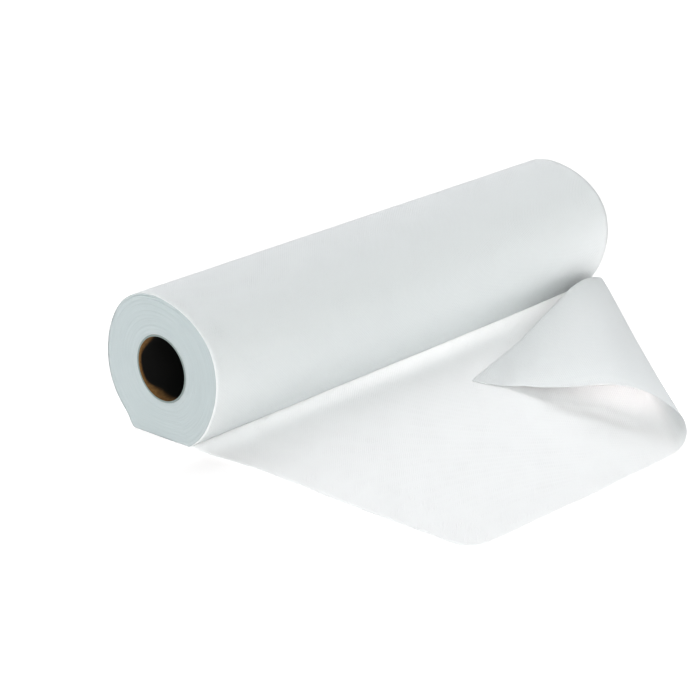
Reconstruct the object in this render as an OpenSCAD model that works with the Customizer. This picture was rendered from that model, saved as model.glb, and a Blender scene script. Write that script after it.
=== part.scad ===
// A roll of soft couch paper on a cardboard core, lying on a table with its loose end drawn out.
// X runs along the roll, the loose end is drawn towards -Y, and Z is up.
// The origin is on the table, under the middle of the core's axis.

/* [Wound roll] */
// Width of the paper, which is the length of the roll
roll_length = 500; // [380:5:620]
// Mean radius of the wound paper
roll_r = 63.3; // [54:0.5:75]
// How much lower the core's axis lies than it would over a round roll
sink = 4.1; // [2:0.1:6]
// How far the soft winding hangs below the core's axis
hang = 2; // [0:0.1:3]
// Depth of the three broad dents that handling has left
dent_three = 0.9; // [0:0.1:1.5]
// Depth of the four broad dents that handling has left
dent_four = 1; // [0:0.1:1.5]
// How far the soft turns stand out where they have spread behind the flat
heel = 4.8; // [0:0.2:6]

/* [Core] */
// Bore of the cardboard core, which takes the dispenser's spindle
core_bore = 53; // [38:0.5:60]
// Wall of the cardboard core
core_wall = 1.5; // [1:0.1:3]
// Gap between the core and the first turn of paper
first_turn_gap = 0.1; // [0.05:0.01:0.3]

/* [Turns in the end faces] */
// Number of turns that show as a groove
shown_turns = 10; // [6:1:14]
// Width of the groove between two turns
groove_w = 0.7; // [0.4:0.1:1]
// Depth of the groove between two turns
groove_depth = 0.6; // [0.3:0.1:1.5]

/* [Loose end] */
// Thickness of the embossed paper, which is two plies
web_t = 0.3; // [0.2:0.05:0.6]
// Length of paper drawn out from under the roll
drawn_out = 297; // [260:1:360]
// How far the far edge stands out past the roll's end where it leaves the roll
edge_out = 3; // [0:0.5:8]
// How far the far edge has run in at the leading edge
edge_in = 6; // [0:0.5:8]
// Radius of the leading corner that lies flat
near_corner_r = 19; // [10:1:34]
// How much less paper is drawn out along the near edge
near_short = 12; // [0:0.5:16]
// How far the folded corner's rounding runs along the far edge
far_corner_along = 110; // [60:2:130]
// How far the folded corner's rounding runs along the leading edge
far_corner_across = 25; // [18:1:34]
// Height of the low wave that runs along the loose end
wave_h = 1.3; // [0:0.1:3]
// Width of the low wave
wave_w = 150; // [120:5:200]
// Distance from the roll at which the low wave starts
wave_start = 40; // [20:2:60]

/* [Folded corner] */
// Distance from the roll at which the fold starts on the far edge
fold_start = 15.3; // [10:0.1:22]
// Angle between the fold and the roll
fold_angle = 46.3; // [44:0.1:50]
// Size of the fold's loop at the far edge, as a share of its size at the leading edge
fold_taper = 0.61; // [0.5:0.01:0.8]
// Radius of the crease at the leading edge
crease_r = 12.4; // [9:0.1:14]
// Angle through which the crease turns
crease_turn = 143; // [130:1:155]
// Radius of the bulge past the crease
bulge_r = 64; // [50:0.5:80]
// Slope at which the flap comes down
flap_slope = 22.8; // [19:0.1:28]
// Radius of the bend where the flap comes to lie on the sheet
landing_r = 46; // [30:2:90]
// Gap between the flap and the sheet that it lies on
flap_gap = 0.6; // [0.4:0.05:1.5]
// How high the fold has pulled the far edge up beside the roll
edge_lift = 6; // [0:0.5:8]

/* [Hidden] */

paper_colour = [0.9, 0.92, 0.93];
card_colour = [0.62, 0.5, 0.38];

axis_h = roll_r - sink;
core_r = core_bore / 2 + core_wall;
hole_r = core_r + first_turn_gap;
hang_dir = 251.5;      // direction in which the winding hangs
dent_three_dir = 22;   // direction of the first of three swellings between the dents
dent_four_dir = 25;    // direction of the first of four swellings between the dents
heel_dir = 238;        // direction in which the turns have spread behind the flat
heel_spread = 7;       // degrees within which they have spread
outline_step = 2;      // degrees between the points of the roll's outline
groove_step = 6;       // degrees between the points of a groove
past = 1;              // how far a cut runs past the surface that it opens
degrees = 180 / PI;    // degrees in a radian

// The section of the roll. Angles start at the front and go up over the top to the back.

function free_r(a) = roll_r + hang * cos(a - hang_dir)
    + dent_three * cos(3 * (a - dent_three_dir))
    + dent_four * cos(4 * (a - dent_four_dir))
    + heel * exp(-pow((a - heel_dir) / heel_spread, 2));

function above_table(a) = -free_r(a) * sin(a) < axis_h;

function outline_r(a) = above_table(a) ? free_r(a) : -axis_h / sin(a);

function at_angle(a, r) = [-r * cos(a), axis_h + r * sin(a)];

// The loose end leaves the roll where its section lifts off the table at the front.
leave_a = [for (a = [270 : 0.25 : 330]) if (above_table(a)) a][0];
leave_y = axis_h / tan(leave_a);

module along_roll(length) {
    rotate([90, 0, 90])
        linear_extrude(height = length, center = true)
            children();
}

// One groove that winds out from the core and opens where the loose end leaves the roll.

groove_from = leave_a - 360 * shown_turns + 20;

function share_out(a) = 1 - (leave_a - a) / (360 * shown_turns);

function turn_r(a) = hole_r + share_out(a) * (outline_r(a) - hole_r);

module turn_groove() {
    outer = [for (a = [groove_from : groove_step : leave_a]) at_angle(a, turn_r(a) + groove_w / 2)];
    inner = [for (a = [groove_from : groove_step : leave_a]) at_angle(a, turn_r(a) - groove_w / 2)];
    last = len(inner) - 1;
    polygon(concat(outer, [for (i = [last : -1 : 0]) inner[i]]));
}

module wound_roll() {
    difference() {
        along_roll(roll_length)
            polygon([for (a = [0 : outline_step : 360 - outline_step]) at_angle(a, outline_r(a))]);
        translate([0, 0, axis_h])
            rotate([0, 90, 0])
                cylinder(h = roll_length + 2 * past, r = hole_r, center = true, $fn = 96);
        for (side = [-1, 1])
            translate([side * (roll_length / 2 + past - (groove_depth + past) / 2), 0, 0])
                along_roll(groove_depth + past)
                    turn_groove();
    }
}

// The loose end is worked out flat, and then its far corner is folded over.
// The fold is part of a cone: straight lines from one point stay straight, so the paper isn't stretched.

lead_y = leave_y - drawn_out;
edge_run = (edge_out + edge_in) / drawn_out;

function far_edge_x(y) = roll_length / 2 + edge_out - edge_run * (leave_y - y);

fold_from = [far_edge_x(leave_y - fold_start), leave_y - fold_start];
fold_length = (drawn_out - fold_start) / sin(fold_angle);
lead_reach = fold_length / (1 - fold_taper);
fold_dir = 180 + fold_angle;
cone_tip = fold_from - fold_taper * lead_reach * [cos(fold_dir), sin(fold_dir)];

// The section of the fold at the leading edge is a chain of arcs.
// Each step is [distance across, height, heading], and the heading of the flat sheet is 0.

function bend(from, r, turn) = [
    from[0] + r * (sin(from[2] + turn) - sin(from[2])),
    from[1] - r * (cos(from[2] + turn) - cos(from[2])),
    from[2] + turn
];

function run(from, length) = [
    from[0] + length * cos(from[2]),
    from[1] + length * sin(from[2]),
    from[2]
];

bulge_turn = 180 + flap_slope - crease_turn;
crease_end = bend([0, 0, 0], crease_r, crease_turn);
bulge_end = bend(crease_end, bulge_r, bulge_turn);
landing_drop = landing_r * (1 - cos(flap_slope));
slope_length = max(0, bulge_end[1] - landing_drop - web_t - flap_gap) / sin(flap_slope);
slope_end = run(bulge_end, slope_length);
landing_end = bend(slope_end, -landing_r, -flap_slope);

crease_to = crease_r * crease_turn / degrees;
bulge_to = crease_to + bulge_r * bulge_turn / degrees;
slope_to = bulge_to + slope_length;
landing_to = slope_to + landing_r * flap_slope / degrees;

function fold_section(m) =
    m <= crease_to ? bend([0, 0, 0], crease_r, m / crease_r * degrees) :
    m <= bulge_to ? bend(crease_end, bulge_r, (m - crease_to) / bulge_r * degrees) :
    m <= slope_to ? run(bulge_end, m - bulge_to) :
    m <= landing_to ? bend(slope_end, -landing_r, (slope_to - m) / landing_r * degrees) :
    run(landing_end, m - landing_to);

// Straight lines of the cone: m is how far round the leading edge each line lies from the fold.

function line_dir(m) = fold_dir + m / lead_reach * degrees;

function unit(a) = [cos(a), sin(a)];

// The folded corner is rounded to a quarter of an oval, whose middle is corner_at.
// Squeezed to a round corner of radius 1, the oval meets a straight line at the roots of a quadratic.

corner_at = [
    far_edge_x(lead_y + far_corner_along) - far_corner_across,
    lead_y + far_corner_along
];

function squeezed(v) = [v[0] / far_corner_across, v[1] / far_corner_along];

to_corner = squeezed(corner_at - cone_tip);
corner_share = 0.985;  // how far out on the rounded corner the last line lies
last_turn = atan2(to_corner[1], to_corner[0]) + asin(corner_share / norm(to_corner));
last_dir = atan2(far_corner_along * sin(last_turn), far_corner_across * cos(last_turn)) + 360;
last_m = (last_dir - fold_dir) / degrees * lead_reach;

crease_lines = 10;
bulge_lines = 5;
landing_lines = 5;
flap_lines = 9;

flap_from = min(landing_to, 0.8 * last_m);
curl_m = concat(
    [for (i = [0 : crease_lines - 1]) crease_to * i / crease_lines],
    [for (i = [0 : bulge_lines - 1]) crease_to + (bulge_to - crease_to) * i / bulge_lines],
    [bulge_to],
    [for (i = [0 : landing_lines - 1]) slope_to + (landing_to - slope_to) * i / landing_lines]
);
line_m = concat(
    [for (i = [0 : len(curl_m) - 1])
        if (curl_m[i] < flap_from && (i == 0 || curl_m[i] > curl_m[i - 1])) curl_m[i]],
    [for (i = [0 : flap_lines]) flap_from + (last_m - flap_from) * sin(90 * i / flap_lines)]
);

function meets_corner(d, sign) =
    let (u = squeezed(d), b = to_corner * u, c = to_corner * to_corner - 1)
    (b + sign * sqrt(max(0, b * b - (u * u) * c))) / (u * u);

function meets_far_edge(d) =
    (far_edge_x(0) + edge_run * cone_tip[1] - cone_tip[0]) / (d[0] - edge_run * d[1]);

function meets_lead(d) = (lead_y - cone_tip[1]) / d[1];

function line_from(d) =
    let (r = meets_far_edge(d))
    cone_tip[1] + r * d[1] > corner_at[1] ? r : meets_corner(d, -1);

function line_to(d) =
    let (r = meets_lead(d))
    cone_tip[0] + r * d[0] < corner_at[0] ? r : meets_corner(d, 1);

// Rows lie across the loose end, closer together towards the rounded leading corners.

root_depth = 1;        // how far the sheet runs into the roll
root_rise = 0.1;       // keeps the root of the sheet clear of the roll's flat
rows_before_fold = 2;
rows_on_fold = 18;
columns = 14;

function row_share(j) = sin(90 * j / rows_on_fold);

row_s = concat(
    [-root_depth],
    [for (j = [1 : rows_before_fold - 1]) fold_start * j / rows_before_fold],
    [for (j = [0 : rows_on_fold]) fold_start + (drawn_out - fold_start) * row_share(j)]
);
last_row = len(row_s) - 1;

function near_edge_x(s) =
    let (d = s - (drawn_out - near_corner_r))
    d <= 0 ? -roll_length / 2
        : -roll_length / 2 + near_corner_r - sqrt(max(0, near_corner_r * near_corner_r - d * d));

function row_end_x(s) =
    s <= fold_start ? min(far_edge_x(leave_y - s), far_edge_x(leave_y))
        : fold_from[0] - (s - fold_start) / tan(fold_angle);

function wave(y) =
    let (s = leave_y - y - wave_start)
    s < 0 || s > wave_w ? 0 : wave_h * (1 - cos(360 * s / wave_w)) / 2;

lift_reach = 85;       // distance over which the lift beside the roll dies out

function lift(x, y) =
    edge_lift * exp(-(pow(x - roll_length / 2, 2) + pow(y - fold_from[1], 2)) / pow(lift_reach, 2));

// The leading edge curves back towards the near corner, where less paper is drawn out.

lead_turns_x = row_end_x(drawn_out);

function shortened(x, s) =
    let (share = max(0, (lead_turns_x - x) / (lead_turns_x + roll_length / 2)))
    near_short * share * share * pow(max(0, s / drawn_out), 3);

// Each point of the sheet is [middle of the paper, direction across its thickness].

function flat_point(j, i) =
    let (
        s = row_s[j],
        x = near_edge_x(s) + (row_end_x(s) - near_edge_x(s)) * i / columns,
        y = leave_y - s + shortened(x, s)
    )
    [[x, y, web_t / 2 + wave(y) + lift(x, y) + (s < 0 ? root_rise : 0)], [0, 0, 1]];

function folded_point(m, share) =
    let (
        d = unit(line_dir(m)),
        reach = line_from(d) + (line_to(d) - line_from(d)) * share,
        section = fold_section(m),
        across = fold_dir + section[0] / lead_reach * degrees,
        rise = section[1] / lead_reach * degrees,
        p = [for (v = cone_tip + reach * cos(rise) * unit(across)) v],
        side = [-sin(across), cos(across)]
    )
    [
        [p[0], p[1], web_t / 2 + reach * sin(rise) + wave(p[1]) + lift(p[0], p[1])],
        [-sin(section[2]) * side[0], -sin(section[2]) * side[1], cos(section[2])]
    ];

sheet_points = concat(
    [for (j = [0 : last_row]) for (i = [0 : columns]) flat_point(j, i)],
    [for (k = [1 : len(line_m) - 1]) for (j = [0 : rows_on_fold]) folded_point(line_m[k], row_share(j))]
);

function flat_index(j, i) = j * (columns + 1) + i;

function fold_index(k, j) = k == 0 ? flat_index(rows_before_fold + j, columns)
    : flat_index(last_row + 1, 0) + (k - 1) * (rows_on_fold + 1) + j;

function two_sides(a, b, c, d) =
    let (n = len(sheet_points))
    [[a, b, c], [a, c, d], [c + n, b + n, a + n], [d + n, c + n, a + n]];

module loose_end() {
    n = len(sheet_points);
    lines = len(line_m) - 1;
    flat_faces = [for (j = [0 : last_row - 1]) for (i = [0 : columns - 1])
        for (f = two_sides(flat_index(j, i), flat_index(j, i + 1),
            flat_index(j + 1, i + 1), flat_index(j + 1, i))) f];
    folded_faces = [for (k = [0 : lines - 1]) for (j = [0 : rows_on_fold - 1])
        for (f = two_sides(fold_index(k, j), fold_index(k + 1, j),
            fold_index(k + 1, j + 1), fold_index(k, j + 1))) f];
    rim = concat(
        [for (i = [0 : columns - 1]) flat_index(0, i)],
        [for (j = [0 : rows_before_fold - 1]) flat_index(j, columns)],
        [for (k = [0 : lines - 1]) fold_index(k, 0)],
        [for (j = [0 : rows_on_fold - 1]) fold_index(lines, j)],
        [for (k = [lines : -1 : 1]) fold_index(k, rows_on_fold)],
        [for (i = [columns : -1 : 1]) flat_index(last_row, i)],
        [for (j = [last_row : -1 : 1]) flat_index(j, 0)]
    );
    rim_faces = [for (i = [0 : len(rim) - 1])
        let (a = rim[i], b = rim[(i + 1) % len(rim)])
        for (f = [[b, a, a + n], [b, a + n, b + n]]) f];
    polyhedron(
        points = concat(
            [for (p = sheet_points) p[0] + web_t / 2 * p[1]],
            [for (p = sheet_points) p[0] - web_t / 2 * p[1]]
        ),
        faces = concat(flat_faces, folded_faces, rim_faces),
        convexity = 8
    );
}

module paper_web() {
    color(paper_colour) {
        wound_roll();
        loose_end();
    }
}

module core_tube() {
    color(card_colour)
        translate([0, 0, axis_h])
            rotate([0, 90, 0])
                difference() {
                    cylinder(h = roll_length, r = core_r, center = true, $fn = 96);
                    cylinder(h = roll_length + 2 * past, r = core_bore / 2, center = true, $fn = 96);
                }
}

core_tube();
paper_web();
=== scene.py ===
# %% [markdown]
# This scene dresses a roll of couch paper, the soft embossed paper that covers an examination table.
# The packed CAD model is loaded first, because it fixes where everything is.
# The wound paper, its loose end and the finishes are made around it.

import math

import bmesh
import bpy
import numpy as np
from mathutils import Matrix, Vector, noise


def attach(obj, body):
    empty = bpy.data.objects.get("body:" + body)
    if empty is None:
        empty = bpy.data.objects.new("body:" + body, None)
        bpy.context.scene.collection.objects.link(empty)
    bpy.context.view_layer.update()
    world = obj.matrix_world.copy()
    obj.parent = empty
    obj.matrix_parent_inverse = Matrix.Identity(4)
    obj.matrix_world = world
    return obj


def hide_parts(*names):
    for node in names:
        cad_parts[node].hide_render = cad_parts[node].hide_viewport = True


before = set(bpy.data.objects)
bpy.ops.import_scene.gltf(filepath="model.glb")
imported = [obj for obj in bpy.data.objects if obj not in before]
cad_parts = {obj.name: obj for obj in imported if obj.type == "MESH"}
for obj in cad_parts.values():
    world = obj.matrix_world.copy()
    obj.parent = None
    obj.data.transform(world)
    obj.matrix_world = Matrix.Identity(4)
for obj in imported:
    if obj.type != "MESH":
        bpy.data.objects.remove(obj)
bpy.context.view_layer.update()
MM = 0.001

# %% [markdown]
# The camera stands low and to the left of the near end, with a long lens.
# A long lens from far away keeps the two ends of the roll nearly the same size, as in a catalogue picture.

# %% Camera
camera_data = bpy.data.cameras.new("catalogue_camera")
camera_data.lens = 111.0
camera_data.sensor_width = 36.0
camera = bpy.data.objects.new("catalogue_camera", camera_data)
camera.location = (-1.2991, -1.1930, 0.6564)
camera.rotation_euler = [math.radians(turn) for turn in (69.694, 1.287, -47.158)]
bpy.context.scene.collection.objects.link(camera)
bpy.context.scene.camera = camera
bpy.context.scene.view_settings.view_transform = "Standard"
print("camera at", tuple(camera.location), "with a", camera_data.lens, "mm lens")

# %% [markdown]
# A soft roll doesn't stay round. It has sunk to a flat where it rests, it hangs a little below its core,
# and handling has left broad dents. All of this is one curve: the distance from the core's axis in each
# direction. The same few swellings are in the CAD model, so the paper here lies where the solid lies.
# Angles start at the front, where the loose end is drawn out, and go up over the top.

# %% The section of the roll
roll_half = 250 * MM
roll_radius = 63.3 * MM
axis_height = 59.2 * MM
core_hole = 28.1 * MM
# Each swelling has its count round the roll, its height and its direction in degrees.
swellings = ((1, 2.0 * MM, 251.5), (3, 0.9 * MM, 22.0), (4, 1.0 * MM, 25.0))
heel_height, heel_direction, heel_spread = 4.8 * MM, 238.0, 7.0
leave_angle = 295.5


def bell(away, width):
    """A soft hump: 1 in its middle, and next to nothing two or three widths away."""
    return np.exp(-((away / width) ** 2))


def section_radius(angle):
    """Distance of the outer paper from the core's axis, for angles in degrees."""
    angle = np.mod(angle, 360.0)
    radius = roll_radius + heel_height * bell(angle - heel_direction, heel_spread)
    for count, height, direction in swellings:
        radius = radius + height * np.cos(np.radians(count * (angle - direction)))
    down = -np.sin(np.radians(angle))
    to_table = np.where(down > 0, axis_height / np.maximum(down, 1e-9), np.inf)
    return np.minimum(radius, to_table)


def section_point(angle, radius):
    """Place of a point in the section: its y and its height."""
    turn = np.radians(angle)
    return -radius * np.cos(turn), axis_height + radius * np.sin(turn)


leave_y = float(section_point(leave_angle, section_radius(leave_angle))[0])
print("the loose end leaves the roll at y =", round(leave_y / MM, 1), "mm")

# %% [markdown]
# An end face shows the cut edges of all the turns. Most lie level, but some stand a little proud and others
# fall short. One continuous winding makes a spiral of them, so the turns here are counted along a spiral.
# Smooth noise gives the proud and the short ones. It is read on a circle, so each turn goes over into the
# next. Near the top a few loose turns have slipped apart, which leaves three deeper arcs.

# %% The relief of an end face
turns_shown = 10
# Each wave has its height and its scales round the axis and from turn to turn.
broad_relief, fine_relief = (0.20 * MM, 0.6, 1.9), (0.09 * MM, 1.1, 6.5)
level_at_hole = 0.06
near_face_seed, far_face_seed = 3, 8
groove_depth, groove_share = 0.14 * MM, 0.07
rim_depth, rim_share = 0.25 * MM, 0.02
slip_depth, slip_share = 1.1 * MM, 0.012
slip_bends, slip_trembles, slip_tremble, seed_turn = 5.3, 17.0, 0.006, 40
# Each slip has its direction and spread in degrees, its share of the way out to the rim, and its wander.
slips = ((78.0, 26.0, 0.905, 0.012), (104.0, 20.0, 0.955, 0.010), (60.0, 15.0, 0.945, 0.008))
seed_steps = (17.3, 5.1, 9.7)


def noise_at(points, seed, size):
    """Smooth noise from -1 to 1 at some points, with hills about size wide. A seed picks a place in it."""
    shift = Vector([seed * step for step in seed_steps])
    return np.array([noise.noise(Vector(p) / size + shift) for p in points])


def spiral_share(angle):
    """How much of a whole turn back from the leaving line each angle is, from 0 to 1."""
    return np.mod(leave_angle - angle, 360.0) / 360.0


def spiral_wave(angle, along, wave, seed):
    """A wave that follows the winding: round the axis one way, and from turn to turn the other way."""
    height, around_scale, along_scale = wave
    around = np.radians(angle)
    circle = np.column_stack([np.cos(around), np.sin(around)]) * around_scale
    return height * noise_at(np.column_stack([circle, along * along_scale]), seed, 1.0)


def slipped_turns(angle, share, seed):
    """Depth of the arcs where turns near the rim have slipped apart."""
    depth = np.zeros_like(share)
    for direction, spread, arc_share, wander in slips:
        bend = wander * np.sin(np.radians(angle * slip_bends + seed_turn * seed))
        bend += slip_tremble * np.sin(np.radians(angle * slip_trembles))
        turned_away = np.mod(angle - direction + 180, 360) - 180
        depth += slip_depth * bell(turned_away, spread) * bell(share - arc_share - bend, slip_share)
    return depth


def end_relief(angle, share, seed):
    """How far the paper stands out of an end face, for each direction and share of the way to the rim."""
    along = share * turns_shown + spiral_share(angle)
    relief = spiral_wave(angle, along, broad_relief, seed) + spiral_wave(angle, along, fine_relief, seed + 1)
    in_turn = np.mod(along, 1.0)
    relief -= groove_depth * bell(np.minimum(in_turn, 1 - in_turn), groove_share)
    relief -= slipped_turns(angle, share, seed) + rim_depth * bell(share - 1.0, rim_share)
    return relief * np.clip(share / level_at_hole, 0, 1)


all_round = np.arange(0, 360, 5.0)
halfway_out = end_relief(all_round, np.full_like(all_round, 0.5), near_face_seed)
print("halfway out the end face varies by", round(float(np.ptp(halfway_out)) / MM, 2), "mm")

# %% [markdown]
# Every piece of paper here starts as a flat grid, and its corners are moved to their places by a rule.
# That is how paper behaves: it is a flat sheet first and takes its shape afterwards.
# The grid also keeps flat coordinates as a UV map, which the embossing will follow. The first grid is the one
# for the wound turns: so many columns go round the roll, and so many rings lie in each face and on the side.

# %% Paper grids
ring_columns, face_rings, side_rings = 288, 84, 40


def grid_mesh(columns, rows):
    """A flat unit grid as a bmesh, and where each of its corners lies in it, from 0 to 1 both ways."""
    mesh = bmesh.new()
    bmesh.ops.create_grid(mesh, x_segments=columns, y_segments=rows, size=0.5)
    mesh.verts.ensure_lookup_table()
    place = np.array([(v.co.x + 0.5, v.co.y + 0.5) for v in mesh.verts])
    return mesh, place


def move_corners(mesh, spots):
    """Moves each corner of a mesh to its place."""
    for vert, spot in zip(mesh.verts, spots):
        vert.co = spot


def keep_flat_map(mesh, flat):
    """Stores the flat coordinates of each corner, in metres, as the mesh's UV map."""
    layer = mesh.loops.layers.uv.new("flat")
    for face in mesh.faces:
        for loop in face.loops:
            loop[layer].uv = flat[loop.vert.index]


def finish_piece(name, mesh):
    """Turns a bmesh into a smooth piece that rides on the roll."""
    bmesh.ops.recalc_face_normals(mesh, faces=mesh.faces)
    data = bpy.data.meshes.new(name)
    mesh.to_mesh(data)
    mesh.free()
    data.shade_smooth()
    piece = bpy.data.objects.new(name, data)
    bpy.context.scene.collection.objects.link(piece)
    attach(piece, "root")
    print(name, "has", len(data.polygons), "faces")
    return piece


ring_rows = 2 * face_rings + side_rings
mesh, place = grid_mesh(ring_columns, ring_rows)
print("the flat grid for the wound turns has", len(mesh.faces), "faces")

# %% [markdown]
# The wound turns are one solid ring of paper. The grid is bent into a tube, and its two ends are turned in to
# meet the core, so the end faces and the outside are one mesh. It lies a little inside the section,
# and further in with each bit of the turn, which leaves room for the outermost turn that comes later.

# %% The wound turns
sheet_thickness, layer_gap, layer_growth = 0.3 * MM, 0.05 * MM, 0.4 * MM
weld_distance = 1e-6

angle = place[:, 0] * 360.0
step = place[:, 1] * ring_rows
share = np.clip(np.minimum(step, ring_rows - step) / face_rings, 0, 1)
inset = sheet_thickness + layer_gap + layer_growth * spiral_share(angle)
radius = core_hole + share * (section_radius(angle) - inset - core_hole)
across = np.clip((step - face_rings) / side_rings, 0, 1) * 2 - 1
out = np.where(step <= face_rings, end_relief(angle, share, near_face_seed), 0)
out = np.where(step >= face_rings + side_rings, end_relief(angle, share, far_face_seed), out)
x = across * roll_half + np.sign(across) * out
move_corners(mesh, np.column_stack([x, *section_point(angle, radius)]))
keep_flat_map(mesh, np.column_stack([x, np.radians(angle) * radius]))
for face in mesh.faces:
    on_side = [face_rings <= step[vert.index] <= face_rings + side_rings for vert in face.verts]
    face.material_index = int(all(on_side))
open_corners = {v for e in mesh.edges if e.is_boundary for v in e.verts}
bmesh.ops.remove_doubles(mesh, verts=list(open_corners), dist=weld_distance)
rims = [e for e in mesh.edges if e.is_boundary]
bmesh.ops.bridge_loops(mesh, edges=rims)
wound_turns = finish_piece("wound_turns", mesh)
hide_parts("paper_web")

# %% [markdown]
# The loose end and the outermost turn are one sheet. It lies on the table, passes under the roll,
# goes up the back, over the top and down the front, and ends where the next turn goes on inside.
# Making both as one sheet gives the roll its true edge at the ends and no seam where the paper leaves it.
# First comes its flat outline. Its far edge runs a little inwards, its near leading corner is rounded,
# and its far leading corner, which will be folded over, is cut in and ends pointed.

# %% The sheet, flat
drawn_out = 297.0 * MM
edge_out, edge_in = 3.0 * MM, 6.0 * MM
near_corner_radius = 16.0 * MM
far_corner_across, far_corner_along, far_corner_power = 13.6 * MM, 80.0 * MM, 1.15
lead_y = leave_y - drawn_out


def far_edge(y):
    """X of the sheet's far edge before it is folded."""
    drift = (edge_out + edge_in) / drawn_out
    edge = roll_half + edge_out - drift * (leave_y - y)
    past = np.clip((lead_y + far_corner_along - y) / far_corner_along, 0, 1)
    return edge - far_corner_across * past**far_corner_power


def near_edge(y):
    """X of the sheet's near edge, with its rounded leading corner."""
    past = np.clip((lead_y + near_corner_radius - y) / near_corner_radius, 0, 1)
    return -roll_half + near_corner_radius * (1 - np.sqrt(1 - past**2))


print("the leading edge lies at y =", round(lead_y / MM, 1), "mm")

# %% [markdown]
# The far corner is folded over. A fold that opens to one side is part of a cone: straight lines from one
# point stay straight, so the paper isn't stretched. The fold starts on the far edge close to the roll, and
# its taper, from there to the leading edge, tells how far behind the paper the cone's point lies.

# %% Where the fold lies
fold_start, fold_angle, fold_taper = 15.3 * MM, math.radians(46.3), 0.61

fold_y = leave_y - fold_start
fold_from = np.array([far_edge(fold_y), fold_y])
fold_run = drawn_out - fold_start
fold_end_x = fold_from[0] - fold_run / math.tan(fold_angle)
fold_direction = math.pi + fold_angle
fold_line = np.array([math.cos(fold_direction), math.sin(fold_direction)])
lead_reach = fold_run / math.sin(fold_angle) / (1 - fold_taper)
cone_tip = fold_from - fold_taper * lead_reach * fold_line
print("the fold's cone has its point at", [round(float(v) / MM) for v in cone_tip], "mm")

# %% [markdown]
# The fold's section is a tight crease, a wide bulge, a flap that comes straight down and a landing that
# turns it level. It is a chain of arcs, worked out at the leading edge. Further back along the fold every
# size shrinks in proportion, because all its lines run to the cone's point.

# %% The folded corner
crease_radius, crease_turn = 12.4 * MM, math.radians(143)
bulge_radius, flap_slope = 64.0 * MM, math.radians(22.8)
landing_radius, flap_gap = 46.0 * MM, 0.6 * MM
past_the_paper = 10.0


def fold_arcs():
    """The fold's section as lengths and curvatures, starting flat at the crease."""
    bulge_turn = math.pi + flap_slope - crease_turn
    height = crease_radius * (1 - math.cos(crease_turn))
    height += bulge_radius * (math.cos(crease_turn) - math.cos(crease_turn + bulge_turn))
    drop = height - landing_radius * (1 - math.cos(flap_slope)) - sheet_thickness - flap_gap
    return (
        (crease_radius * crease_turn, 1 / crease_radius),
        (bulge_radius * bulge_turn, 1 / bulge_radius),
        (drop / math.sin(flap_slope), 0.0),
        (landing_radius * flap_slope, -1 / landing_radius),
        (past_the_paper, 0.0),
    )


def go_along(turn, length, curvature):
    """Steps across and up, and the new heading, after some length of an arc or of a straight."""
    if curvature == 0:
        return length * math.cos(turn), length * math.sin(turn), turn
    end = turn + curvature * length
    return (np.sin(end) - math.sin(turn)) / curvature, (math.cos(turn) - np.cos(end)) / curvature, end


def fold_section(length):
    """Distance across and height after going some length round the fold."""
    across, up = length.copy(), np.zeros_like(length)
    start_x = start_z = start = turn = 0.0
    for arc, curvature in fold_arcs():
        step_x, step_z, _ = go_along(turn, length - start, curvature)
        across = np.where(length >= start, start_x + step_x, across)
        up = np.where(length >= start, start_z + step_z, up)
        step_x, step_z, turn = go_along(turn, arc, curvature)
        start_x += step_x
        start_z += step_z
        start += arc
    return across, up


def fold_over(flat):
    """Folds flat points of the loose end, and gives each one's place above the table."""
    from_tip = flat - cone_tip
    reach = np.hypot(from_tip[:, 0], from_tip[:, 1])
    turned = np.arctan2(from_tip[:, 1], from_tip[:, 0]) - fold_direction
    turned = np.mod(turned + math.pi, 2 * math.pi) - math.pi
    across, up = fold_section(turned * lead_reach)
    around, rise = fold_direction + across / lead_reach, up / lead_reach
    return np.column_stack([
        cone_tip[0] + reach * np.cos(rise) * np.cos(around),
        cone_tip[1] + reach * np.cos(rise) * np.sin(around),
        reach * np.sin(rise),
    ])


fold_height = float(fold_section(np.linspace(0, 0.3, 300))[1].max())
print("the fold stands", round(fold_height / MM, 1), "mm high at the leading edge")

# %% [markdown]
# Paper that has been wound never lies quite flat. A low wave runs along it beside the roll, the fold pulls
# the far edge up, and soft ridges run out from under the flap. Very low waves of noise lie under all of it.
# A cloth simulation would have to guess how it was handled, so each wave is a plain rule for the height.

# %% Waves in the loose end
wave_height, wave_start, wave_width, wave_lean = 2.0 * MM, 22 * MM, 170 * MM, 0.75
edge_lift, lift_reach = 6.0 * MM, 85 * MM
held_by_roll = 40 * MM
# Each soft wave has its seed, its height and the width of its hills.
soft_waves = ((1, 0.35 * MM, 90 * MM), (2, 0.12 * MM, 26 * MM))
# Each ridge has points along it in mm, its height and its width.
ridges = (
    (((-8, -144), (1, -179), (18, -228), (13, -271), (7, -303)), 0.9 * MM, 7 * MM),
    (((-26, -150), (-14, -200), (-4, -250), (-12, -300)), 0.5 * MM, 9 * MM),
)


def ridge_height(spot, line, height, width):
    """Height of a soft ridge along a line of points, at some places."""
    line = np.array(line, float) * MM
    nearest = np.full(len(spot), np.inf)
    fade = np.zeros(len(spot))
    count = len(line) - 1
    for i in range(count):
        a, b = line[i], line[i + 1]
        t = np.clip(((spot[:, :2] - a) @ (b - a)) / ((b - a) @ (b - a)), 0, 1)
        gap = np.linalg.norm(spot[:, :2] - (a + t[:, None] * (b - a)), axis=1)
        closer = gap < nearest
        nearest = np.where(closer, gap, nearest)
        fade = np.where(closer, np.sin(math.pi * (i + t) / count), fade)
    return height * fade * bell(nearest, width)


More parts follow.
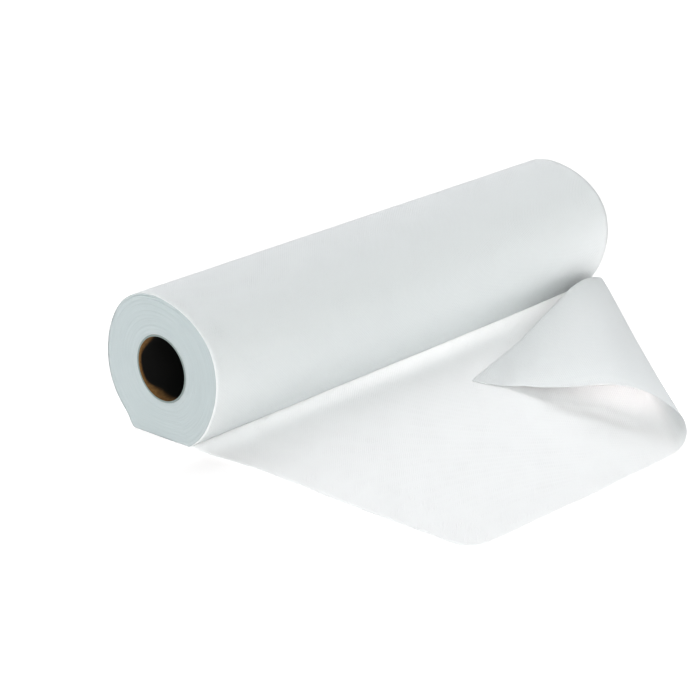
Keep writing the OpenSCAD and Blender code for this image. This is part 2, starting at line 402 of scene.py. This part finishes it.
def lay_of_sheet(spot):
    """How high the loose end lies above the table at some places, before the fold is added."""
    gone = leave_y - spot[:, 1]
    t = np.clip((gone - wave_start) / wave_width, 0, 1)
    high = wave_height * np.sin(math.pi * t**wave_lean) ** 2
    high += edge_lift * bell(np.hypot(spot[:, 0] - roll_half, spot[:, 1] - fold_y), lift_reach)
    for line, height, width in ridges:
        high += ridge_height(spot, line, height, width)
    free = np.clip(gone / held_by_roll, 0, 1)
    flat_spot = np.column_stack([spot[:, :2], np.zeros(len(spot))])
    for seed, height, size in soft_waves:
        high += free * height * (1 + noise_at(flat_spot, seed, size))
    return high


middle_line = np.column_stack([np.zeros(60), np.linspace(leave_y, lead_y, 60)])
print("its middle lies up to", round(float(lay_of_sheet(middle_line).max()) / MM, 1), "mm above the table")

# %% [markdown]
# Round the roll the sheet follows the section, a little further in for each bit of the turn, and it goes on
# inside its own start for a few degrees. The path is walked in small steps, and their lengths are added up,
# so that a place on the sheet is found by its distance from the leaving line.

# %% The path round the roll
turn_overlap, path_steps = 12.0, 2400
path_angle = np.linspace(leave_angle, leave_angle - 360.0 - turn_overlap, path_steps)
path_inset = sheet_thickness / 2 + layer_growth * (leave_angle - path_angle) / 360.0
path_y, path_z = section_point(path_angle, section_radius(path_angle) - path_inset)
path_length = np.concatenate([[0], np.cumsum(np.hypot(np.diff(path_y), np.diff(path_z)))])
turn_length = float(path_length[-1])

# %% [markdown]
# The sheet is a grid again, first laid out flat. Its rows crowd together towards the leading edge, where
# the small waves are. Nothing holds that edge and the near side, so they aren't straight: the near part of
# the leading edge falls short, small waves run along both, and the folded part has a hollow and a bulge.

# %% Rows, columns and wavy edges
sheet_columns, loose_rows, turn_rows, row_crowding = 150, 118, 150, 0.9
near_short = 9.5 * MM
# Each wave has its seed, its height and the width of its hills.
lead_waves = ((5, 1.3 * MM, 34 * MM), (6, 0.6 * MM, 9 * MM))
side_waves = ((7, 0.7 * MM, 22 * MM), (9, 0.25 * MM, 6 * MM))
# Each hollow in the leading edge has its depth, its place along the edge and its width. One is a bulge.
lead_hollows = ((4.5 * MM, 190 * MM, 20 * MM), (-2.0 * MM, 108 * MM, 35 * MM))
lead_only, side_columns, side_wave_start = 12, 3, 30 * MM


def waves_along(values, axis, waves):
    """Small waves along one axis, the sum of a few sizes."""
    points = np.zeros((len(values), 3))
    points[:, axis] = values
    return sum(height * noise_at(points, seed, size) for seed, height, size in waves)


sheet_rows = loose_rows + turn_rows
mesh, place = grid_mesh(sheet_columns, sheet_rows)
row = place[:, 1] * sheet_rows - turn_rows
on_table = row > 0
loose_run = drawn_out * np.sin(np.clip(row / loose_rows, 0, 1) * math.pi / 2) ** row_crowding
turn_run = np.clip(-row / turn_rows, 0, 1) * turn_length
lead_share = loose_run / drawn_out
flat_y = leave_y - loose_run
flat_x = near_edge(flat_y) + (far_edge(flat_y) - near_edge(flat_y)) * place[:, 0]
near_share = np.clip((fold_end_x - flat_x) / (fold_end_x + roll_half), 0, 1)
edge_wave = waves_along(flat_x, 0, lead_waves)
edge_wave += sum(depth * bell(flat_x - middle, width) for depth, middle, width in lead_hollows)
flat_y = flat_y + near_short * near_share**2 * lead_share**3 + edge_wave * lead_share**lead_only
near_side = np.clip(1 - place[:, 0] * sheet_columns / side_columns, 0, 1)
near_side = near_side * np.clip(loose_run / side_wave_start, 0, 1)
flat_x = flat_x - waves_along(flat_y, 1, side_waves) * near_side
print("the flat sheet has", len(mesh.faces), "faces")

# %% [markdown]
# The loose part is folded and laid on the table. The flap's front isn't quite straight either: it swells
# in one place and sinks in another. Each swell is a bell shape in the sheet's flat coordinates.

# %% Fold the corner and lay the loose end down
swell_reach = 70 * MM
# Each swell has its height, its place along the leading edge and its width.
flap_swells = ((1.6 * MM, 188 * MM, 25 * MM), (-1.2 * MM, 100 * MM, 35 * MM))

spot = fold_over(np.column_stack([flat_x, flat_y]))
spot[:, 2] += sheet_thickness / 2 + lay_of_sheet(spot)
front = bell(flat_y - lead_y, swell_reach)
for height, middle, width in flap_swells:
    spot[:, 2] += height * front * bell(flat_x - middle, width)
print("the loose end rises to", round(float(spot[on_table, 2].max()) / MM, 1), "mm")

# %% [markdown]
# The rest of the sheet goes round the roll. Its two edges stand out of the end faces by varying amounts, as
# the outermost turn of a real roll does, and handling has left very shallow dents in it. Both fade out
# at the leaving line, where the low wave of the loose end runs on under the roll for a little way.

# %% Wind the outermost turn round the roll
edge_stand_out, edge_stand_out_wave, edges_only = 0.12 * MM, 0.30 * MM, 8
stand_out_start, dent_start, lift_end = 25 * MM, 20 * MM, 18 * MM
edge_seed, edge_size = 11, 0.35
dent_seed, dent_depth, dent_size = 13, 0.25 * MM, 120 * MM

roll_angle = np.interp(turn_run, path_length, path_angle)
roll_y = np.interp(turn_run, path_length, path_y)
roll_z = np.interp(turn_run, path_length, path_z)
roll_x = -roll_half + 2 * roll_half * place[:, 0]
facing = np.radians(roll_angle)
rim_spots = np.column_stack([np.cos(facing), np.sin(facing), np.sign(roll_x)])
end_wave = noise_at(rim_spots, edge_seed, edge_size)
stand_out = (edge_stand_out + edge_stand_out_wave * end_wave) * np.clip(turn_run / stand_out_start, 0, 1)
roll_x = roll_x + np.sign(roll_x) * stand_out * (np.abs(roll_x) / roll_half) ** edges_only
dent = dent_depth * noise_at(np.column_stack([roll_x, roll_y, roll_z]), dent_seed, dent_size)
dent = dent * np.clip(turn_run / dent_start, 0, 1)
roll_y = roll_y - dent * np.cos(facing)
roll_z = np.maximum(roll_z + dent * np.sin(facing), sheet_thickness / 2)
lift_at_leave = lay_of_sheet(np.column_stack([roll_x, np.full(len(roll_x), leave_y)]))
roll_z = roll_z + lift_at_leave * np.clip(1 - turn_run / lift_end, 0, 1) ** 2
print("round the roll the sheet reaches up to", round(float(roll_z.max()) / MM, 1), "mm")

# %% [markdown]
# Both parts go into the one grid. Solidify gives it the paper's thickness to both sides of the middle.

# %% The loose end as a piece
move_corners(mesh, np.where(on_table[:, None], spot, np.column_stack([roll_x, roll_y, roll_z])))
flat_along = np.where(on_table, loose_run, -turn_run)
keep_flat_map(mesh, np.column_stack([np.where(on_table, flat_x, roll_x), flat_along]))
loose_end = finish_piece("loose_end", mesh)
solidify = loose_end.modifiers.new("paper thickness", "SOLIDIFY")
solidify.thickness = sheet_thickness
solidify.offset = 0.0
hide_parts("paper_web")

# %% [markdown]
# A finish is a material whose shader gets its colour and bumps from a few small nodes. The same steps come
# back in every finish: do some maths, read a noise, turn a value into a colour. They are written once here,
# so that a finish below reads like its recipe.

# %% A finish and its nodes


class Finish:
    """A material with its shader, and short ways to add and join its nodes."""

    def __init__(self, name, shader_values):
        self.material = bpy.data.materials.new(name)
        self.material.use_nodes = True
        self.tree = self.material.node_tree
        self.shader = self.tree.nodes["Principled BSDF"]
        for key, value in shader_values.items():
            self.shader.inputs[key].default_value = value

    def node(self, kind, **settings):
        """A new node with its settings and sockets set by name."""
        made = self.tree.nodes.new(kind)
        for key, value in settings.items():
            if key in made.bl_rna.properties:
                setattr(made, key, value)
            else:
                made.inputs[key].default_value = value
        return made

    def join(self, output, socket):
        """Joins an output to a socket."""
        self.tree.links.new(output, socket)

    def maths(self, operation, first, second=None):
        """The result of one operation on one or two numbers or outputs."""
        made = self.node("ShaderNodeMath", operation=operation)
        for i, value in enumerate((first, second)):
            if isinstance(value, (int, float)):
                made.inputs[i].default_value = value
            elif value is not None:
                self.join(value, made.inputs[i])
        return made.outputs[0]

    def times(self, first, *others):
        """The product of some numbers or outputs."""
        for value in others:
            first = self.maths("MULTIPLY", first, value)
        return first

    def object_place(self):
        """The place on the object, in metres from the scene's origin."""
        return self.node("ShaderNodeTexCoord").outputs["Object"]

    def parts_of(self, vector):
        """The x, y and z of a vector output."""
        split = self.node("ShaderNodeSeparateXYZ")
        self.join(vector, split.inputs[0])
        return split.outputs[0], split.outputs[1], split.outputs[2]

    def noise(self, where, **settings):
        """A noise read at some coordinates, from 0 to 1."""
        made = self.node("ShaderNodeTexNoise", **settings)
        self.join(where, made.inputs["Vector"])
        return made.outputs["Fac"]

    def stretch(self, value, start, end, **settings):
        """A value stretched from one range to another, and held at its ends."""
        made = self.node("ShaderNodeMapRange", **settings)
        for key, number in zip(("From Min", "From Max", "To Min", "To Max"), (*start, *end)):
            made.inputs[key].default_value = number
        self.join(value, made.inputs["Value"])
        return made.outputs[0]

    def tone(self, value, low_color, high_color, low_at=0.0, high_at=1.0):
        """A colour between two, chosen by a value."""
        made = self.node("ShaderNodeValToRGB")
        low_stop, high_stop = made.color_ramp.elements
        low_stop.position, high_stop.position = low_at, high_at
        low_stop.color, high_stop.color = (*low_color, 1), (*high_color, 1)
        self.join(value, made.inputs["Fac"])
        return made.outputs["Color"]

    def bump(self, height, strength, distance):
        """Makes light fall as if the surface had this relief."""
        made = self.node("ShaderNodeBump", Strength=strength, Distance=distance)
        self.join(height, made.inputs["Height"])
        self.join(made.outputs["Normal"], self.shader.inputs["Normal"])


def round_the_core(finish, y, z):
    """The height above the core's axis and the angle round it, from two object coordinates."""
    up = finish.maths("SUBTRACT", z, axis_height)
    return up, finish.maths("ARCTAN2", up, y)


print("a finish can have", [name for name in vars(Finish) if not name.startswith("_")])

# %% [markdown]
# The paper is white with a faint cool tone, quite matt, and a little light passes through it.
# The embossing is a lattice of shallow dots 2.2 mm apart, set on the diagonal. Two crossed waves on the
# sheet's own flat map make it, so it follows every fold. A soft noise makes it stronger here and weaker
# there, a fine one gives the fibres, and a broad one clouds the white very slightly.

# %% Paper finish
emboss_pitch, emboss_depth, fibre_depth = 2.2 * MM, 0.13 * MM, 0.06 * MM
paper_white, paper_brighter = (0.938, 0.944, 0.946), (0.958, 0.962, 0.964)

paper = Finish("embossed_paper", {
    "Roughness": 0.92,
    "Specular IOR Level": 0.15,
    "Sheen Weight": 0.05,
    "Subsurface Weight": 1.0,
    "Subsurface Radius": (1.0, 1.0, 1.0),
    "Subsurface Scale": 0.8 * MM,
})
flat_map = paper.node("ShaderNodeUVMap", uv_map="flat").outputs["UV"]
map_x, map_y, _ = paper.parts_of(flat_map)
wave_turn = 2 * math.pi / emboss_pitch
wave_x = paper.maths("SINE", paper.times(map_x, wave_turn))
wave_y = paper.maths("SINE", paper.times(map_y, wave_turn))
patches = paper.noise(flat_map, Scale=55.0, Detail=2.0)
strength = paper.stretch(patches, (0.35, 0.65), (0.35, 1.0))
embossing = paper.times(wave_x, wave_y, strength, emboss_depth)
fibres = paper.times(paper.noise(flat_map, Scale=900.0, Detail=3.0, Roughness=0.6), fibre_depth)
paper.bump(paper.maths("ADD", embossing, fibres), strength=1.0, distance=1.0)
cloud = paper.noise(flat_map, Scale=9.0, Detail=4.0)
paper.join(paper.tone(cloud, paper_white, paper_brighter), paper.shader.inputs["Base Color"])
loose_end.data.materials.append(paper.material)
print("embossing pitch", round(emboss_pitch / MM, 1), "mm")

# %% [markdown]
# The end faces show the cut edges of many turns, packed side by side. They look greyer than the face of the
# paper, because light sinks in between the turns. A noise that is stretched along a spiral round the core's
# axis gives each turn its own tone.

# %% Cut-edge finish
rings_per_metre, spiral_pull, ring_detail, ring_drift = 1000.0, 0.55, 1.4, 0.9
edge_grey, edge_grey_lighter = (0.482, 0.527, 0.535), (0.528, 0.574, 0.582)

cut_edges = Finish("cut_paper_edges", {
    "Roughness": 0.95,
    "Specular IOR Level": 0.1,
    "Subsurface Weight": 1.0,
    "Subsurface Radius": (1.0, 1.0, 1.0),
    "Subsurface Scale": 3 * MM,
})
_, y, z = cut_edges.parts_of(cut_edges.object_place())
up, around = round_the_core(cut_edges, y, z)
from_axis = cut_edges.maths("SQRT", cut_edges.maths("ADD", cut_edges.times(y, y), cut_edges.times(up, up)))
pull = cut_edges.times(around, spiral_pull)
spiral = cut_edges.maths("ADD", cut_edges.times(from_axis, rings_per_metre), pull)
rings_at = cut_edges.node("ShaderNodeCombineXYZ")
cut_edges.join(cut_edges.times(spiral, ring_detail), rings_at.inputs[0])
cut_edges.join(cut_edges.times(around, ring_drift), rings_at.inputs[1])
rings = cut_edges.noise(rings_at.outputs[0], Scale=1.0, Detail=4.0, Roughness=0.65)
edge_tone = cut_edges.tone(rings, edge_grey, edge_grey_lighter, low_at=0.30, high_at=0.70)
cut_edges.join(edge_tone, cut_edges.shader.inputs["Base Color"])
cut_edges.bump(rings, strength=1.0, distance=0.15 * MM)
wound_turns.data.materials.append(cut_edges.material)
wound_turns.data.materials.append(paper.material)
print("the wound turns have", [m.name for m in wound_turns.data.materials])

# %% [markdown]
# The core is wound from strips of brown cardboard, so a helical seam runs along it. Its cut ring in the end
# face is greyer. Little light reaches into the bore, so its colour is darkened there as painted shade, the
# more the deeper in and soonest on its back side. The CAD tube is kept and only gets a finish.

# %% Cardboard finish
board_brown, board_lighter, board_cut = (0.125, 0.056, 0.016), (0.300, 0.155, 0.050), (0.235, 0.280, 0.270)
seam_radians_per_metre, seam_width, seam_shade = 40.0, 0.02, 0.4
# Painted shade in the bore: the depths where it starts and is fullest, how dark it gets, and the side where
# it comes soonest.
shade_from, shade_to, deepest_shade = 3 * MM, 13 * MM, 0.004
shaded_side, shallow_from, shallow_to, shallowest = math.radians(12), 0.62, 0.96, 0.30
cut_ring_depth = 0.1 * MM

card = Finish("core_card", {"Roughness": 0.85, "Specular IOR Level": 0.25})
where = card.object_place()
x, y, z = card.parts_of(where)
up, around = round_the_core(card, y, z)
grain = card.noise(where, Scale=420.0, Detail=5.0, Roughness=0.65)
board_tone = card.tone(grain, board_brown, board_lighter, low_at=0.3, high_at=0.75)
helix = card.maths("ADD", card.times(x, seam_radians_per_metre), around)
seam_wave = card.maths("ABSOLUTE", card.maths("SINE", card.times(helix, 0.5)))
seam = card.maths("LESS_THAN", seam_wave, seam_width)
# Painted shade: the board's colour goes from its own brown at the mouth to nearly black deeper in the bore,
# sooner on its back side. The seam's darker line is multiplied in on top.
depth = card.maths("SUBTRACT", roll_half, card.maths("ABSOLUTE", x))
toward_shaded_side = card.maths("COSINE", card.maths("ADD", around, shaded_side))
shallow = card.stretch(toward_shaded_side, (shallow_from, shallow_to), (1.0, shallowest),
                       interpolation_type="SMOOTHSTEP")
shade = card.stretch(card.maths("DIVIDE", depth, shallow), (shade_from, shade_to), (1.0, deepest_shade),
                     interpolation_type="SMOOTHSTEP")
painted_shade_and_seam = card.times(shade, card.maths("SUBTRACT", 1.0, card.times(seam, seam_shade)))
shade_and_seam_grey = card.node("ShaderNodeCombineColor")
for i in range(3):
    card.join(painted_shade_and_seam, shade_and_seam_grey.inputs[i])
shaded = card.node("ShaderNodeMix", data_type="RGBA", blend_type="MULTIPLY")
shaded.inputs["Factor"].default_value = 1.0
card.join(board_tone, shaded.inputs[6])
card.join(shade_and_seam_grey.outputs[0], shaded.inputs[7])
cut_ring = card.node("ShaderNodeMix", data_type="RGBA")
card.join(card.maths("LESS_THAN", depth, cut_ring_depth), cut_ring.inputs["Factor"])
card.join(shaded.outputs[2], cut_ring.inputs[6])
cut_ring.inputs[7].default_value = (*board_cut, 1)
card.join(cut_ring.outputs[2], card.shader.inputs["Base Color"])
card.bump(grain, strength=0.5, distance=0.2 * MM)
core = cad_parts["core_tube"]
core.data.materials.clear()
core.data.materials.append(card.material)
print("finishes:", [m.name for m in bpy.data.materials])

# %% [markdown]
# Thin white things are photographed on an opal light table, which glows a little from below. It lightens
# the underside of the roll and shines through the single sheet, while a soft shadow still shows on it.
# The table glows more along the line where the roll touches it and below the folded corner, because its
# tubes lie there, and that fills the two gaps with light. Each stronger place is two crossed soft bands.

# %% The light table
table_size = 24.0
table_glow, nip_glow, fold_glow = 0.45, 0.75, 1.4
# Each band has its middle line and its width.
nip_across, nip_along = (leave_y, 22 * MM), (30 * MM, 240 * MM)
fold_across, fold_along = (62 * MM, 40 * MM), (-225 * MM, 62 * MM)

board = Finish("opal_board", {
    "Base Color": (0.80, 0.80, 0.80, 1),
    "Roughness": 1.0,
    "Specular IOR Level": 0.0,
    "Emission Color": (1.0, 0.94, 0.935, 1),
})
x, y, _ = board.parts_of(board.object_place())


def glow_band(place, middle, width):
    """A soft band of light across the table: 1 in its middle line, and nothing a few widths away."""
    away = board.maths("DIVIDE", board.maths("SUBTRACT", place, middle), width)
    return board.maths("EXPONENT", board.times(away, away, -1.0))


nip_light = board.times(glow_band(y, *nip_across), glow_band(x, *nip_along), nip_glow)
fold_light = board.times(glow_band(x, *fold_across), glow_band(y, *fold_along), fold_glow)
glow = board.maths("ADD", board.maths("ADD", nip_light, fold_light), table_glow)
board.join(glow, board.shader.inputs["Emission Strength"])

floor_mesh = bmesh.new()
bmesh.ops.create_grid(floor_mesh, x_segments=1, y_segments=1, size=table_size / 2)
floor_data = bpy.data.meshes.new("studio_table")
floor_mesh.to_mesh(floor_data)
floor_mesh.free()
floor_data.materials.append(board.material)
floor = bpy.data.objects.new("studio_table", floor_data)
bpy.context.scene.collection.objects.link(floor)
print("the table glows at", table_glow, "and up to", round(table_glow + fold_glow, 2), "below the fold")

# %% [markdown]
# The world gives a faint cool light from all round. The camera sees plain white in its place, so the
# background is white without putting more light on the paper.

# %% The background
world_color, world_strength = (0.90, 0.97, 1.0, 1), 0.06

world = bpy.data.worlds.new("studio")
bpy.context.scene.world = world
world.use_nodes = True
tree = world.node_tree
light = tree.nodes["Background"]
light.inputs["Color"].default_value = world_color
light.inputs["Strength"].default_value = world_strength
backdrop = tree.nodes.new("ShaderNodeBackground")
backdrop.inputs["Color"].default_value = (1, 1, 1, 1)
path = tree.nodes.new("ShaderNodeLightPath")
mix = tree.nodes.new("ShaderNodeMixShader")
tree.links.new(path.outputs["Is Camera Ray"], mix.inputs[0])
tree.links.new(light.outputs[0], mix.inputs[1])
tree.links.new(backdrop.outputs[0], mix.inputs[2])
tree.links.new(mix.outputs[0], tree.nodes["World Output"].inputs[0])
print("world light", world_strength)

# %% [markdown]
# Four broad lamps stand around the table. The strongest is low beside the camera, so that the gap between
# roll and sheet doesn't go dark. One behind on the right lights the top of the roll and its flank, and two
# weak ones behind the roll, one high and one low, keep its back and the flap light.

# %% Lamps
lamp_spread = math.radians(60)


def add_lamp(name, side, height, strength, color):
    """A broad soft lamp far away. Side goes round the roll in degrees, from the front to the right."""
    data = bpy.data.lights.new(name, "SUN")
    data.energy = strength
    data.color = color
    data.angle = lamp_spread
    side, height = math.radians(side), math.radians(height)
    level = math.cos(height)
    towards = Vector((math.sin(side) * level, -math.cos(side) * level, math.sin(height)))
    made = bpy.data.objects.new(name, data)
    made.rotation_euler = towards.to_track_quat("Z", "Y").to_euler()
    bpy.context.scene.collection.objects.link(made)
    return made


# Each lamp has its side and its height in degrees, its strength and its colour.
lamps = [
    add_lamp("low_camera_light", 316, 15, 3.12, (0.93, 0.99, 0.985)),
    add_lamp("back_right_light", 135, 45, 1.62, (0.93, 0.97, 1.0)),
    add_lamp("top_light", 180, 65, 0.58, (1.0, 0.97, 0.96)),
    add_lamp("low_back_light", 178, 22, 0.50, (0.98, 0.98, 0.98)),
]
print("lamps:", [(lamp.name, round(lamp.data.energy, 2)) for lamp in lamps])

# %% [markdown]
